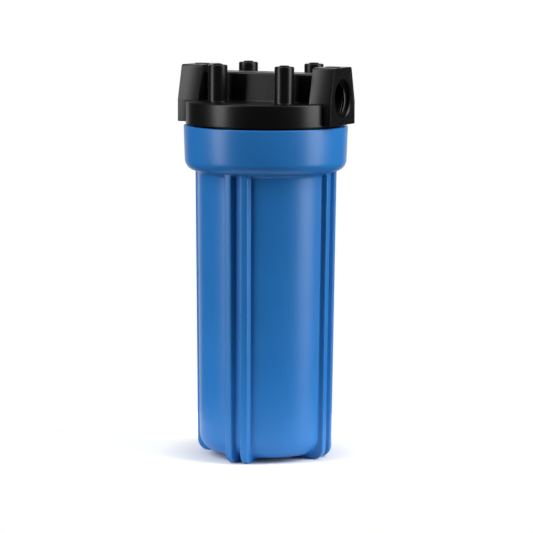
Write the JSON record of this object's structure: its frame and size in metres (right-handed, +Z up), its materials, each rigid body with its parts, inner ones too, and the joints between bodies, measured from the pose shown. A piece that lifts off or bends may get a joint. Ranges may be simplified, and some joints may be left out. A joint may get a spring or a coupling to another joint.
{
  "type": "cartridge filter housing",
  "caption": "Cartridge water filter housing: black threaded head with side pipe ports and bracket posts over a ribbed blue screw-on sump.",
  "frame": {"origin": "on the floor under the middle of the sump, at the level of its feet", "axes": "+Z up the screw axis, +X out of the inlet port, +Y to the back of the head"},
  "size_m": [0.1336, 0.13, 0.3122],
  "materials": {
    "head_plastic": "satin black moulded polypropylene",
    "sump_plastic": "satin blue moulded polypropylene",
    "seal_rubber": "black nitrile rubber",
    "button_plastic": "black moulded acetal",
    "spring_steel": "drawn stainless spring wire",
    "cartridge_plastic": "natural white moulded polypropylene",
    "filter_media": "white spun-bonded polyester"
  },
  "bodies": {
    "head": {"head": "head_plastic", "relief_spring": "spring_steel"},
    "cartridge": {"sump_oring": "seal_rubber", "cartridge_core": "cartridge_plastic", "pleated_media": "filter_media", "cartridge_net": "cartridge_plastic", "top_end_cap": "cartridge_plastic", "bottom_end_cap": "cartridge_plastic", "top_gasket": "seal_rubber", "bottom_gasket": "seal_rubber"},
    "sump": {"sump": "sump_plastic"},
    "relief_valve": {"relief_button": "button_plastic", "relief_seal": "seal_rubber", "relief_retainer": "button_plastic"}
  },
  "joints": [
    {"name": "sump_drop", "type": "slide", "parent": "head", "child": "cartridge", "axis": [0, 0, -1], "range_m": [0, 0.01801]},
    {"name": "sump_turn", "type": "hinge", "parent": "cartridge", "child": "sump", "pos_m": [0, 0, 0.25], "axis": [0, 0, -1], "range_deg": [0, 1080]},
    {"name": "relief_press", "type": "slide", "parent": "head", "child": "relief_valve", "axis": [0, 0, -1], "range_m": [0, 0.002], "stiffness_N_per_m": 500, "springref_m": -0.003, "deforming": ["relief_spring"]}
  ],
  "couplings": [
    {"joint": "sump_drop", "follows": "sump_turn", "m_per_rad": 0.00095493}
  ]
}
